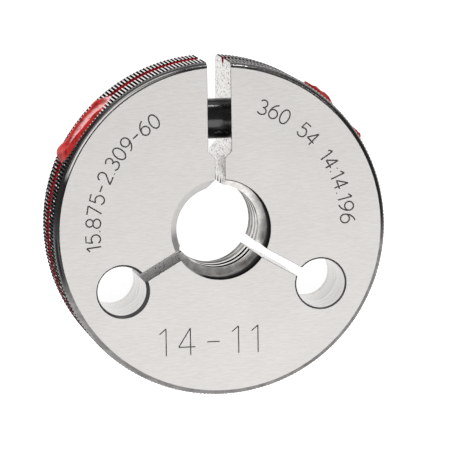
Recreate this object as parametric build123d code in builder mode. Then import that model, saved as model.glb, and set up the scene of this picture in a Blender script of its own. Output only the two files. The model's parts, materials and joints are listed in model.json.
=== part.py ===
"""Adjustable not-go thread ring gauge, 5/8-11, with its locking device sealed under wax.

The gauge lies flat on its back face. The origin is on the thread's axis in the plane of that
face, +Z points out of the front face and the adjusting slot opens towards +Y. Millimetres.
"""

import os
from math import asin, ceil, cos, degrees, radians, sin, sqrt, tan

from build123d import *

# ---------------------------------------------------------------- driving dimensions

# ring blank
ring_diameter = 53.975
ring_thickness = 14.2875
rim_bevel_width = 0.88  # radial
rim_bevel_depth = 1.40  # axial
marker_groove_width = 2.20
marker_groove_depth = 0.90
marker_groove_angle = 60.0  # between the groove's sides

# thread, 5/8-11 of unified form
thread_major_diameter = 15.875
thread_pitch = 25.4 / 11
thread_angle = 60.0
not_go_allowance = 0.179  # pitch diameter under the basic one
thread_root_relief = 0.06  # radial, past the major diameter
countersink_margin = 0.36  # radial, past the major diameter
countersink_angle = 90.0

# slots
flex_slot_width = 1.5875
flex_slot_angles = (210.0, 330.0)
terminal_hole_diameter = 7.94
terminal_hole_setback = 8.33  # from the rim in to the hole's centre
terminal_hole_chamfer = 0.25
adjusting_slot_width = 3.80
adjusting_slot_shoulder = 5.60  # from the cross hole's axis in to the narrow end of the taper
adjusting_slot_taper = 45.0  # each side, from the slot's centre plane

# locking device, in one stepped cross hole parallel to X
cross_hole_setback = 9.89  # from the rim in to the hole's axis, at the slot
screw_recess = 0.80  # screw ends below the nearest point of the rim
sleeve_diameter = 6.50
sleeve_bore_diameter = 4.60
sleeve_projection = 0.80  # past its bore, so that the adjusting screw bears on it alone
sleeve_chamfer = 0.30
seat_web = 2.60  # between the locking screw's head and the sleeve's shoulder
locking_screw_diameter = 4.17
locking_head_diameter = 7.60
locking_head_height = 3.60
head_counterbore_diameter = 8.40
adjusting_screw_diameter = 7.94
adjusting_screw_length = 7.20
driver_slot_width = 1.20
driver_slot_depth = 1.50
screw_chamfer = 0.30
shank_end_gap = 0.20  # between the locking screw's tip and the adjusting screw's slot

# fits, all radial
sleeve_fit = 0.01
shank_fit = 0.15
screw_thread_fit = 0.03
wax_shrinkage = 0.03

# sealing wax
wax_span = 13.60  # along the rim
wax_height = 0.80  # above the rim
wax_slope = 20.0  # how far the sides of the wax lean in
wax_dish_depth = 1.20  # below the rim
wax_dish_floor = 4.00  # diameter at the bottom
wax_dish_mouth = 10.20  # diameter at the top of the wax
locking_seal_drift = -1.3  # degrees past the cross hole's mouth, towards the slot
adjusting_seal_drift = 1.7

# ---------------------------------------------------------------- sizes that follow

ring_radius = ring_diameter / 2
mid_plane = ring_thickness / 2
clear_of_rim = 2 * ring_radius  # reach of a cut that runs out past the rim
terminal_hole_pitch_radius = ring_radius - terminal_hole_setback
cross_hole_offset = ring_radius - cross_hole_setback
adjusting_slot_floor = cross_hole_offset - adjusting_slot_shoulder

sharp_height = thread_pitch / 2 / tan(radians(thread_angle / 2))
pitch_radius = (thread_major_diameter - 3 / 4 * sharp_height - not_go_allowance) / 2
minor_radius = pitch_radius - sharp_height / 8
root_radius = thread_major_diameter / 2 + thread_root_relief
countersink_radius = thread_major_diameter / 2 + countersink_margin
countersink_depth = (countersink_radius - minor_radius) / tan(radians(countersink_angle / 2))

groove_side = marker_groove_depth * tan(radians(marker_groove_angle / 2))
groove_floor_width = marker_groove_width - 2 * groove_side
taper_length = (adjusting_slot_width - flex_slot_width) / 2 / tan(radians(adjusting_slot_taper))

# the cross hole's own plane: its X runs along +Y and its Y along +Z
cross_plane = Plane(origin=(0, cross_hole_offset, mid_plane), x_dir=(0, 1, 0), z_dir=(1, 0, 0))


def rim_x(hole_diameter):
    """Distance from the slot's centre to the rim, at the outer edge of a cross hole."""
    return sqrt(ring_radius**2 - (cross_hole_offset + hole_diameter / 2) ** 2)


locking_head_top_x = screw_recess - rim_x(head_counterbore_diameter)
locking_head_seat_x = locking_head_top_x + locking_head_height
sleeve_seat_x = locking_head_seat_x + seat_web
adjusting_screw_end_x = rim_x(adjusting_screw_diameter) - screw_recess
sleeve_end_x = adjusting_screw_end_x - adjusting_screw_length
locking_screw_tip_x = adjusting_screw_end_x - driver_slot_depth - shank_end_gap


def space_width(radius):
    """Axial width of the thread's space: half the pitch at the pitch diameter."""
    return thread_pitch / 2 - 2 * (radius - pitch_radius) * tan(radians(thread_angle / 2))


# ---------------------------------------------------------------- one turn of the thread's space

mouth_radius = minor_radius - sharp_height / 8  # inside the bore, so that the cut breaks through

with BuildPart() as thread_turn:
    with BuildLine() as helix:
        Helix(pitch=thread_pitch, height=thread_pitch, radius=minor_radius)
    with BuildSketch(Plane.XZ):
        with BuildLine():
            Polyline(
                (mouth_radius, -space_width(mouth_radius) / 2),
                (root_radius, -space_width(root_radius) / 2),
                (root_radius, space_width(root_radius) / 2),
                (mouth_radius, space_width(mouth_radius) / 2),
                close=True,
            )
        make_face()
    sweep(path=helix.line, is_frenet=True)

# ---------------------------------------------------------------- gauge ring

with BuildPart() as gauge_ring:
    # turned blank: countersunk bore, bevelled rim and marking groove
    with BuildSketch(Plane.XZ):
        with BuildLine():
            Polyline(
                (countersink_radius, 0),
                (ring_radius - rim_bevel_width, 0),
                (ring_radius, rim_bevel_depth),
                (ring_radius, mid_plane - marker_groove_width / 2),
                (ring_radius - marker_groove_depth, mid_plane - groove_floor_width / 2),
                (ring_radius - marker_groove_depth, mid_plane + groove_floor_width / 2),
                (ring_radius, mid_plane + marker_groove_width / 2),
                (ring_radius, ring_thickness - rim_bevel_depth),
                (ring_radius - rim_bevel_width, ring_thickness),
                (countersink_radius, ring_thickness),
                (minor_radius, ring_thickness - countersink_depth),
                (minor_radius, countersink_depth),
                close=True,
            )
        make_face()
    revolve(axis=Axis.Z)

    # thread, one turn at a time from below the back face to above the front face
    for turn in range(-1, ceil(ring_thickness / thread_pitch) + 1):
        with Locations((0, 0, turn * thread_pitch)):
            add(thread_turn.part, mode=Mode.SUBTRACT)

    # two flex slots, each ending in a round terminal hole
    for angle in flex_slot_angles:
        with BuildSketch(Plane.XY.rotated((0, 0, angle))):
            with Locations((terminal_hole_pitch_radius / 2, 0)):
                Rectangle(terminal_hole_pitch_radius, flex_slot_width)
        extrude(amount=ring_thickness, mode=Mode.SUBTRACT)
        with BuildSketch(Plane.XY.rotated((0, 0, angle))):
            with Locations((terminal_hole_pitch_radius, 0)):
                Circle(terminal_hole_diameter / 2)
        extrude(amount=ring_thickness, mode=Mode.SUBTRACT)
        hole_rims = gauge_ring.edges(Select.LAST).filter_by(GeomType.CIRCLE)
        chamfer(hole_rims, terminal_hole_chamfer)

    # adjusting slot, narrow at the bore and tapering out to its full width
    with BuildSketch():
        with BuildLine():
            Polyline(
                (flex_slot_width / 2, 0),
                (flex_slot_width / 2, adjusting_slot_floor),
                (adjusting_slot_width / 2, adjusting_slot_floor + taper_length),
                (adjusting_slot_width / 2, clear_of_rim),
                (-adjusting_slot_width / 2, clear_of_rim),
                (-adjusting_slot_width / 2, adjusting_slot_floor + taper_length),
                (-flex_slot_width / 2, adjusting_slot_floor),
                (-flex_slot_width / 2, 0),
                close=True,
            )
        make_face()
    extrude(amount=ring_thickness, mode=Mode.SUBTRACT)

    # stepped cross hole: head counterbore, shank hole, sleeve bore and adjusting-screw hole
    with BuildSketch(cross_plane.offset(locking_head_seat_x)):
        Circle(head_counterbore_diameter / 2)
    extrude(amount=-clear_of_rim, mode=Mode.SUBTRACT)
    with BuildSketch(cross_plane.offset(locking_head_seat_x)):
        Circle(locking_screw_diameter / 2 + shank_fit)
    extrude(amount=seat_web, mode=Mode.SUBTRACT)
    with BuildSketch(cross_plane.offset(sleeve_seat_x)):
        Circle(sleeve_diameter / 2 + sleeve_fit)
    extrude(amount=sleeve_end_x - sleeve_projection - sleeve_seat_x, mode=Mode.SUBTRACT)
    with BuildSketch(cross_plane.offset(sleeve_end_x - sleeve_projection)):
        Circle(adjusting_screw_diameter / 2 + screw_thread_fit)
    extrude(amount=clear_of_rim, mode=Mode.SUBTRACT)

# ---------------------------------------------------------------- locking device

with BuildPart() as alignment_sleeve:
    with BuildSketch(cross_plane.offset(sleeve_seat_x)):
        Circle(sleeve_diameter / 2)
        Circle(sleeve_bore_diameter / 2, mode=Mode.SUBTRACT)
    extrude(amount=sleeve_end_x - sleeve_seat_x)
    outer_edges = alignment_sleeve.edges().filter_by(GeomType.CIRCLE).group_by(SortBy.RADIUS)[-1]
    chamfer(outer_edges, sleeve_chamfer)

with BuildPart() as adjusting_screw:
    with BuildSketch(cross_plane.offset(sleeve_end_x)):
        Circle(adjusting_screw_diameter / 2)
        Circle(locking_screw_diameter / 2 + screw_thread_fit, mode=Mode.SUBTRACT)
    extrude(amount=adjusting_screw_length)
    outer_edges = adjusting_screw.edges().filter_by(GeomType.CIRCLE).group_by(SortBy.RADIUS)[-1]
    chamfer(outer_edges, screw_chamfer)
    with BuildSketch(cross_plane.offset(adjusting_screw_end_x)):
        Rectangle(driver_slot_width, adjusting_screw_diameter)
    extrude(amount=-driver_slot_depth, mode=Mode.SUBTRACT)

with BuildPart() as locking_screw:
    with BuildSketch(cross_plane.offset(locking_head_seat_x)):
        Circle(locking_head_diameter / 2)
    extrude(amount=-locking_head_height)
    head_edge = locking_screw.edges().filter_by(GeomType.CIRCLE).sort_by(Axis.X)[0]
    chamfer(head_edge, screw_chamfer)
    with BuildSketch(cross_plane.offset(locking_head_seat_x)):
        Circle(locking_screw_diameter / 2)
    extrude(amount=locking_screw_tip_x - locking_head_seat_x)
    tip_edge = locking_screw.edges().filter_by(GeomType.CIRCLE).sort_by(Axis.X)[-1]
    chamfer(tip_edge, screw_chamfer)
    with BuildSketch(cross_plane.offset(locking_head_top_x)):
        Rectangle(driver_slot_width, locking_head_diameter)
    extrude(amount=driver_slot_depth, mode=Mode.SUBTRACT)

# ---------------------------------------------------------------- sealing wax


def wax_seal(side, drift, screw_top_x, screw_diameter, hole_diameter):
    """Wax over one screw: it fills the hole's mouth and spreads on the rim around it.

    side is -1 on the locking screw's side and +1 on the adjusting screw's.
    """
    bearing = radians(degrees(asin(cross_hole_offset / ring_radius)) + drift)
    outward = (side * cos(bearing), sin(bearing), 0)
    along_rim = (-outward[1], outward[0], 0)
    mouth = Plane(origin=(0, 0, mid_plane), x_dir=along_rim, z_dir=outward)
    wax_width = ring_thickness - 2 * rim_bevel_depth
    sag = ring_radius - sqrt(ring_radius**2 - (wax_span / 2) ** 2)
    lean = (sag + wax_height) * tan(radians(wax_slope))
    plug_radius = hole_diameter / 2 - wax_shrinkage

    with BuildPart() as bare_rim:
        with BuildSketch():
            Circle(ring_radius + wax_shrinkage)
        extrude(amount=ring_thickness)
        with BuildSketch(cross_plane):
            Circle(plug_radius)
        extrude(amount=side * clear_of_rim, mode=Mode.SUBTRACT)

    with BuildPart() as seal:
        # the spread, leaning in from the rim
        with BuildSketch(mouth.offset(ring_radius - sag)):
            Ellipse(wax_span / 2, wax_width / 2)
        with BuildSketch(mouth.offset(ring_radius + wax_height)):
            Ellipse(wax_span / 2 - lean, wax_width / 2 - lean)
        loft()
        # the plug in the hole
        with BuildSketch(cross_plane.offset(screw_top_x)):
            Circle(plug_radius)
        extrude(amount=side * clear_of_rim)
        with BuildSketch():
            Circle(ring_radius + wax_height)
        extrude(amount=ring_thickness, mode=Mode.INTERSECT)
        add(bare_rim.part, mode=Mode.SUBTRACT)
        # shrinkage left a dish in the middle
        with BuildSketch(mouth.offset(ring_radius - wax_dish_depth)):
            Circle(wax_dish_floor / 2)
        with BuildSketch(mouth.offset(ring_radius + wax_height)):
            Circle(wax_dish_mouth / 2)
        loft(mode=Mode.SUBTRACT)
        # the tongue in the screw's driver slot
        with BuildSketch(cross_plane.offset(screw_top_x)):
            Circle(screw_diameter / 2 - screw_chamfer)
            Rectangle(driver_slot_width - 2 * wax_shrinkage, screw_diameter, mode=Mode.INTERSECT)
        extrude(amount=-side * (driver_slot_depth - wax_shrinkage))
    return seal


locking_screw_seal = wax_seal(
    -1, locking_seal_drift, locking_head_top_x, locking_head_diameter, head_counterbore_diameter
)
adjusting_screw_seal = wax_seal(
    1, adjusting_seal_drift, adjusting_screw_end_x, adjusting_screw_diameter, adjusting_screw_diameter
)

# ---------------------------------------------------------------- STEP files

pieces = {
    "gauge_ring": gauge_ring,
    "alignment_sleeve": alignment_sleeve,
    "adjusting_screw": adjusting_screw,
    "locking_screw": locking_screw,
    "locking_screw_seal": locking_screw_seal,
    "adjusting_screw_seal": adjusting_screw_seal,
}

os.makedirs("parts", exist_ok=True)
for name, piece in pieces.items():
    piece.part.label = name
    export_step(piece.part, f"parts/{name}.step")
    print(f"{name}: {len(piece.part.solids())} solid, {piece.part.volume:.1f} mm3")
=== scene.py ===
"""A thread ring gauge: knurled split ring, locking device and wax seals, dressed round its CAD frame.

The gauge lies on its back face with its front face up and its adjusting slot towards +Y. Sizes are in
metres. Each piece has its own operator, and main() runs them in order.
"""

import json
from math import asin, atan2, ceil, copysign, cos, hypot, pi, radians, sin, tan

import bmesh
import bpy
from bpy.props import FloatProperty, FloatVectorProperty, IntProperty, PointerProperty, StringProperty
from mathutils import Matrix, Vector, noise

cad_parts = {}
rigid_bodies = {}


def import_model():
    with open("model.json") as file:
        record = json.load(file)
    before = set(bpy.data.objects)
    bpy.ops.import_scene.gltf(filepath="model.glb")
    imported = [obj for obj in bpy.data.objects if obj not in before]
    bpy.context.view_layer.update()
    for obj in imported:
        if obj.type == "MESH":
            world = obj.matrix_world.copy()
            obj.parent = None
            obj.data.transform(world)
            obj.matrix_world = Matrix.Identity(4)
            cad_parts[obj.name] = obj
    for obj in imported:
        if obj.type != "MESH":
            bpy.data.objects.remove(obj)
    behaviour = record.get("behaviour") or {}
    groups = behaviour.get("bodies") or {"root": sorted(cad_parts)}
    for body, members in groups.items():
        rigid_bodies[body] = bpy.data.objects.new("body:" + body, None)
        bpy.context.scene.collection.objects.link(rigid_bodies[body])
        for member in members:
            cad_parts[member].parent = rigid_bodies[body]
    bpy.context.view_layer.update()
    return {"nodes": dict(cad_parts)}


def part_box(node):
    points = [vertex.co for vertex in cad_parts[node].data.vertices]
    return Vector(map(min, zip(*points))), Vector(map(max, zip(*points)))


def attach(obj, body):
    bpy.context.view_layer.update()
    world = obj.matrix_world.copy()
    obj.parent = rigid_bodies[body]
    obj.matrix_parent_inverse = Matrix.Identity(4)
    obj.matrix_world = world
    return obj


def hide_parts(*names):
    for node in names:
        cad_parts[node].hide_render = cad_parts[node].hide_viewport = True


bl_info = {
    "name": "Thread Ring Gauge",
    "version": (1, 0, 0),
    "blender": (4, 5, 0),
    "location": "View3D > Sidebar > Gauge",
    "description": "Models an adjustable thread ring gauge with its sealed locking device",
    "category": "Object",
}

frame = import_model()

# ---------------------------------------------------------------- sizes read from the frame

MM = 0.001
_, ring_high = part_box("gauge_ring")
RING_RADIUS = ring_high.x
THICKNESS = ring_high.z
MID_PLANE = THICKNESS / 2
RIM_MM = RING_RADIUS / MM
MID_MM = MID_PLANE / MM

sleeve_low, sleeve_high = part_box("alignment_sleeve")
CROSS_HOLE_Y = (sleeve_low.y + sleeve_high.y) / 2
CROSS_HOLE = Vector((0, CROSS_HOLE_Y, MID_PLANE))
SLEEVE_RADIUS = (sleeve_high.z - sleeve_low.z) / 2

adjusting_low, adjusting_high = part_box("adjusting_screw")
ADJUSTING_SCREW_RADIUS = (adjusting_high.z - adjusting_low.z) / 2
locking_low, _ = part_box("locking_screw")

# segments of a full turn
KNURL_COLUMNS = 3  # for each tooth: two at its crest and one in the valley behind it
BORE_SEGMENTS = 192
THREAD_SEGMENTS = 128
HOLE_SEGMENTS = 96
BEVEL_STEPS = 9  # along the round part of a bevel

MERGE_DISTANCE = 1e-7  # corners of a spun shape that are closer than this are one

# edges that turn by more than this are sharp, in degrees
SHARP_ANGLE = 28
WAX_SHARP_ANGLE = 60

# bearings between which the thread's first turn is milled away, in degrees
START_BEARINGS = (87, -148)
# bearing of the chipped corner beside the adjusting slot
CHIP_BEARING = 96

# the ring's material slots, in order
FACE, BEVEL, KNURL, THREAD, BORED, CUT, SCALE, MARK = range(8)


def length(name, description, default):
    """A size in millimetres that the user can change."""
    return FloatProperty(
        name=name, description=description, default=default * MM, precision=6, unit="LENGTH"
    )


def angle(name, description, default):
    """An angle in degrees that the user can change."""
    return FloatProperty(name=name, description=description, default=radians(default), subtype="ANGLE")


def share(name, description, default):
    """A plain number that the user can change."""
    return FloatProperty(name=name, description=description, default=default)


def colour(name, description, default):
    """A linear colour that the user can change."""
    return FloatVectorProperty(
        name=name, description=description, default=default, subtype="COLOR", size=3, min=0, max=1
    )


class RingSizes(bpy.types.PropertyGroup):
    """Sizes of the knurled ring, with its thread, slots and holes."""

    teeth: IntProperty(name="Teeth", description="Teeth of the knurled rim", default=284, min=12)
    tooth_depth: length("Tooth depth", "Depth of the valleys of the knurl", 0.20)
    bevel_width: length("Bevel width", "Radial width of the rim's bevels", 0.93)
    bevel_depth: length("Bevel depth", "Axial depth of the rim's bevels", 1.40)
    bevel_round: share("Bevel round", "Part of the bevel's width over which it leaves the face", 0.60)
    bevel_start: angle("Bevel start", "Angle between the face and the round part of the bevel", 17)
    land: length("Land", "Width of the land between the face and the round part", 0.18)
    land_angle: angle("Land angle", "Angle between the face and the land", 11)
    groove_width: length("Groove width", "Width of the marking groove in the rim", 2.40)
    groove_depth: length("Groove depth", "Depth of the marking groove in the rim", 0.90)
    groove_angle: angle("Groove angle", "Angle between the marking groove's sides", 60)
    major_diameter: length("Major diameter", "Major diameter of the thread", 15.875)
    pitch: length("Pitch", "Pitch of the thread", 25.4 / 11)
    thread_angle: angle("Thread angle", "Angle between the flanks of the thread", 60)
    allowance: length("Allowance", "Pitch diameter below the basic one", 0.179)
    root_relief: length("Root relief", "Clearance past the major diameter", 0.06)
    countersink: length("Countersink", "Radial width of the countersink past the major diameter", 0.19)
    start_depth: length("Start depth", "Depth to which the first turn is milled away, at +X", 3.90)
    flex_width: length("Flex slot width", "Width of the two flex slots", 1.5875)
    flex_angle: angle("Flex slot angle", "Angle of a flex slot from the adjusting slot", 120)
    hole_diameter: length("Terminal hole", "Diameter of the hole that ends a flex slot", 7.94)
    hole_setback: length("Hole setback", "From the rim in to a terminal hole's centre", 8.33)
    hole_chamfer: length("Hole chamfer", "Chamfer at the terminal holes' edges", 0.27)
    chamfer_shift: length("Chamfer shift", "How far the left hole's chamfers lie to one side", 0.16)
    slot_width: length("Adjusting slot", "Width of the adjusting slot at the rim", 3.80)
    slot_shoulder: length("Slot shoulder", "From the cross hole in to the slot's narrow end", 5.60)
    chip: length("Chip", "How far the chipped corner beside the adjusting slot reaches", 1.20)
    slot_break: length("Slot edge break", "Size of the broken edges of the slots", 0.05)
    sleeve_fit: length("Sleeve fit", "Radial clearance round the sleeve", 0.01)
    screw_fit: length("Screw fit", "Radial clearance round the adjusting screw", 0.03)
    shank_diameter: length("Shank hole", "Diameter of the hole for the locking screw's shank", 4.47)
    counterbore: length("Counterbore", "Diameter of the counterbore for the locking screw", 8.40)
    head_height: length("Head height", "Height of the locking screw's head", 3.60)
    sleeve_projection: length("Sleeve projection", "How far the sleeve stands out of its bore", 0.80)


class LegendSizes(bpy.types.PropertyGroup):
    """Numbers engraved in the front face."""

    left: StringProperty(name="Left", description="Digits, dots and dashes", default="15.875-2.309-60")
    right: StringProperty(name="Right", description="Digits, dots and dashes", default="360 54 14:14.196")
    lower: StringProperty(name="Lower", description="Digits, dots and dashes", default="14-11")
    height: length("Height", "Height of the curved numbers", 2.35)
    spacing: share("Spacing", "Gap between characters, as a share of their height", 0.22)
    arc_radius: length("Arc radius", "From the thread's axis to the middle of the numbers", 20.70)
    left_start: angle("Left start", "Bearing where the left number starts", 187.5)
    right_start: angle("Right start", "Bearing where the right number starts", 72)
    lower_height: length("Lower height", "Height of the lower number", 4.40)
    lower_drop: length("Lower drop", "From the thread's axis down to the lower number", 17.90)
    lower_spacing: share("Lower spacing", "Gap between the lower characters", 0.42)
    lower_shift: length("Lower shift", "How far the lower number stands to the left", 2.20)
    lower_radius: length("Lower cutter radius", "Radius of the lower number's ball cutter", 0.11)
    stroke_radius: length("Cutter radius", "Radius of the ball cutter", 0.17)
    stroke_depth: length("Depth", "Depth of the engraved strokes", 0.08)


class LockSizes(bpy.types.PropertyGroup):
    """Sizes of the sleeve that crosses the adjusting slot."""

    bore: length("Bore", "Bore of the sleeve", 4.60)
    chamfer: length("Chamfer", "Chamfer at the sleeve's ends", 0.30)


class WaxSizes(bpy.types.PropertyGroup):
    """Sizes of the sealing wax over the two screws."""

    span: length("Span", "Length of a seal along the rim", 13.60)
    squareness: share("Squareness", "Power of the seal's outline; 2 is an ellipse", 2.5)
    ridge: length("Ridge", "Height of the ridge at the ends of a seal", 0.78)
    dish: length("Dish", "Depth of the sunken middle, below the rim", 1.15)
    ripple: length("Ripple", "Height of the small lumps in the wax", 0.09)
    skirt: length("Skirt", "How far the wax reaches down into the knurl", 0.19)
    plug: length("Plug", "How far the wax reaches down in the screw's hole", 2.20)
    locking_drift: angle("Locking drift", "From the locking hole round to its seal's middle", -1.3)
    adjusting_drift: angle("Adjusting drift", "From the adjusting hole round to its seal's middle", 1.7)
    rings: IntProperty(name="Rings", description="Rings of faces from middle to edge", default=44, min=8)
    steps: IntProperty(name="Steps", description="Faces round a seal", default=220, min=24)


class Finishes(bpy.types.PropertyGroup):
    """Colours of the finishes."""

    steel: colour("Steel", "Ground steel of the faces", (0.66, 0.645, 0.63))
    # the valley colour also stands for painted shade in the knurl's valleys and the thread's grooves
    soot_and_shade: colour("Soot", "Oil and dirt in the valleys", (0.005, 0.005, 0.005))
    # the scale colour also carries painted shade down the bevel's left side, on the knurl's darker crests
    # and at the bore's mouth
    scale: colour("Scale", "Dark scale left by hardening", (0.065, 0.063, 0.064))
    enamel: colour("Enamel", "Red enamel in the marking groove", (0.24, 0.011, 0.017))
    oxide: colour("Black oxide", "Sleeve and screws", (0.008, 0.008, 0.009))
    etch: colour("Etch", "Filling of the engraved numbers", (0.035, 0.033, 0.032))
    wax: colour("Wax", "Sealing wax", (0.40, 0.011, 0.010))
    # a pale painted sheen on the wax
    painted_sheen: colour("Bloom", "Pale bloom on the sealing wax", (0.80, 0.48, 0.48))
    floor: colour("Floor", "Studio floor", (0.90, 0.90, 0.90))


class StageSizes(bpy.types.PropertyGroup):
    """The camera and the floor."""

    distance: length("Distance", "From the camera to the front face", 675.0)
    bearing: angle("Bearing", "Bearing of the camera about the thread's axis, from +X", 140.78)
    tilt: angle("Tilt", "Angle of the camera's line of sight from the thread's axis", 13.048)
    roll: angle("Roll", "Turn of the camera about its line of sight", -0.793)
    lens: share("Lens", "Focal length in millimetres, on a sensor 36 mm wide", 337.8)
    floor_size: length("Floor", "Half the width of the floor", 3000.0)


# ---------------------------------------------------------------- shader maths


class Value:
    """A socket that arithmetic can be done on: each operation adds a Math node."""

    def __init__(self, shader, socket):
        self.shader = shader
        self.socket = socket

    def maths(self, operation, *operands):
        settings = {"operation": operation}
        return self.shader.add("Math", settings, dict(enumerate(operands)))

    def __add__(self, other):
        return self.maths("ADD", self, other)

    def __sub__(self, other):
        return self.maths("SUBTRACT", self, other)

    def __mul__(self, other):
        return self.maths("MULTIPLY", self, other)

    def __pow__(self, other):
        return self.maths("POWER", self, other)

    def __abs__(self):
        return self.maths("ABSOLUTE", self)

    def cosine(self):
        return self.maths("COSINE", self)

    def __rsub__(self, other):
        return self.maths("SUBTRACT", other, self)

    __radd__ = __add__
    __rmul__ = __mul__


class Shader:
    """The node tree of a material or of the world."""

    def __init__(self, owner):
        owner.use_nodes = True
        self.owner = owner
        self.tree = owner.node_tree
        self.tree.nodes.clear()

    def add(self, kind, settings=None, inputs=None, output=0):
        """Adds a node with its settings, then its sockets' values or links, and returns an output."""
        node = self.tree.nodes.new("ShaderNode" + kind)
        for name, value in (settings or {}).items():
            if name == "stops":
                set_stops(node.color_ramp, value)
            else:
                setattr(node, name, value)
        for name, value in (inputs or {}).items():
            if isinstance(value, Value):
                self.tree.links.new(value.socket, node.inputs[name])
            else:
                node.inputs[name].default_value = value
        return Value(self, node.outputs[output]) if node.outputs else None

    def millimetres(self):
        """The object's own coordinates, in millimetres."""
        place = self.add("TexCoord", output="Object")
        return self.scaled(place, 1 / MM)

    def scaled(self, vector, *factors):
        """The vector times one factor, or times one for each axis."""
        if len(factors) == 1:
            return self.add("VectorMath", {"operation": "SCALE"}, {"Vector": vector, "Scale": factors[0]})
        return self.add("VectorMath", {"operation": "MULTIPLY"}, {0: vector, 1: factors})

    def parts(self, vector):
        """The three parts of a vector."""
        node = self.add("SeparateXYZ", None, {"Vector": vector}).socket.node
        return [Value(self, socket) for socket in node.outputs]

    def noise(self, vector, scale, detail=3.0, roughness=0.55):
        """Soft noise from 0 to 1; scale counts features to the vector's unit."""
        inputs = {"Vector": vector, "Scale": scale, "Detail": detail, "Roughness": roughness}
        return self.add("TexNoise", None, inputs, "Fac")

    def ramp(self, value, low, high):
        """Rises smoothly from 0 where value is low to 1 where it is high."""
        settings = {"interpolation_type": "SMOOTHSTEP"}
        return self.add("MapRange", settings, {"Value": value, "From Min": low, "From Max": high})

    def mix(self, factor, first, second):
        """The first colour where factor is 0 and the second where it is 1."""
        colours = [c if isinstance(c, Value) else (*c, 1) for c in (first, second)]
        inputs = {0: factor, 6: colours[0], 7: colours[1]}
        return self.add("Mix", {"data_type": "RGBA"}, inputs, 2)

    def toward(self, x, y, bearing):
        """1 on the side of the thread's axis that faces a bearing in degrees, -1 on the far side."""
        along = x * cos(radians(bearing)) + y * sin(radians(bearing))
        return along * (x * x + y * y) ** -0.5

    def bump(self, height, distance):
        """A normal from a height of 0 to 1 that stands for distance in metres."""
        return self.add("Bump", None, {"Height": height, "Distance": distance})

    def surface(self, inputs):
        """Ends the material in a Principled BSDF, and returns it."""
        shader = self.add("BsdfPrincipled", None, inputs)
        self.add("OutputMaterial", None, {"Surface": shader})
        return self.owner


def set_stops(colour_ramp, stops):
    """Gives a colour ramp its stops: places with grey levels or colours."""
    while len(colour_ramp.elements) < len(stops):
        colour_ramp.elements.new(1.0)
    for element, (place, level) in zip(colour_ramp.elements, stops):
        element.position = place
        element.color = (level, level, level, 1) if isinstance(level, (int, float)) else (*level, 1)


def new_material(name):
    """The shader of a new material."""
    return Shader(bpy.data.materials.new(name))


def tinted(base, factor):
    """A colour made darker or lighter by a factor."""
    return [min(1, level * factor) for level in base]


def face_depth(z):
    """How far a point lies below the nearer face, in millimetres."""
    return MID_MM - abs(z - MID_MM)


# ---------------------------------------------------------------- steel finishes


def ground_face(finish):
    """The lapped faces: fine straight grain along X."""
    s = new_material("ground_face")
    place = s.millimetres()
    grain = s.noise(s.scaled(place, 0.70, 4.6, 1.0), 1.0, 4.0, 0.75)
    cloud = s.noise(place, 0.12, 2.0)
    tone = s.ramp(grain * 0.85 + cloud * 0.15, 0.30, 0.70)
    dark = tinted(finish.steel, 0.84)
    return s.surface({
        "Base Color": s.mix(tone, dark, finish.steel),
        "Metallic": 1.0,
        "Roughness": 0.44 + grain * 0.12,
        "Normal": s.bump(grain, 0.0000012),
    })


def bevelled_rim(finish):
    """The rounded bevels: dark with hardening scale, with a painted highlight in a band beside the face on
    the upper left, wear and painted sheen towards the bottom, and painted shade down the left side.
    """
    s = new_material("bevelled_rim")
    place = s.millimetres()
    x, y, z = s.parts(place)
    radius = (x * x + y * y) ** 0.5
    stain = s.noise(place, 0.7, 4.0, 0.7)
    rings = s.noise(s.add("CombineXYZ", None, {"X": radius, "Y": z}), 9.0, 2.0)
    # a painted highlight: a band of bright steel beside the face, on the upper left
    band = s.ramp(radius, RIM_MM - 0.80, RIM_MM - 0.76)
    band = band * (1 - s.ramp(radius, RIM_MM - 0.42, RIM_MM - 0.32))
    highlight_band = band * s.ramp(s.toward(x, y, 132), 0.86, 0.93)
    # lighter, rougher and less metallic towards the bottom: wear and painted sheen
    wear_and_sheen = s.ramp(s.toward(x, y, 278), 0.0, 0.3)
    flecked = s.ramp(s.noise(place, 5.0, 3.0), 0.50, 0.58) * s.ramp(s.toward(x, y, 68), 0.85, 0.95)
    bright = s.ramp(highlight_band + wear_and_sheen * (stain * 0.6 + 0.05) + flecked * 0.5, 0, 1)
    # painted shade: darker and less metallic down the left side
    left_side = s.ramp(s.toward(x, y, 155), 0.85, 0.97)
    dark = s.mix(stain, finish.scale, tinted(finish.scale, 2.2))
    dark = s.mix(left_side, dark, tinted(finish.scale, 0.28))
    return s.surface({
        "Base Color": s.mix(bright, dark, finish.steel),
        "Metallic": 1 - s.ramp(left_side * (1 - bright) + wear_and_sheen * 0.7, 0, 1),
        "Roughness": 0.16 + stain * 0.10 + wear_and_sheen * 0.25,
        "Specular IOR Level": 0.0,
        "Normal": s.bump(rings, 0.000002),
    })


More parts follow.
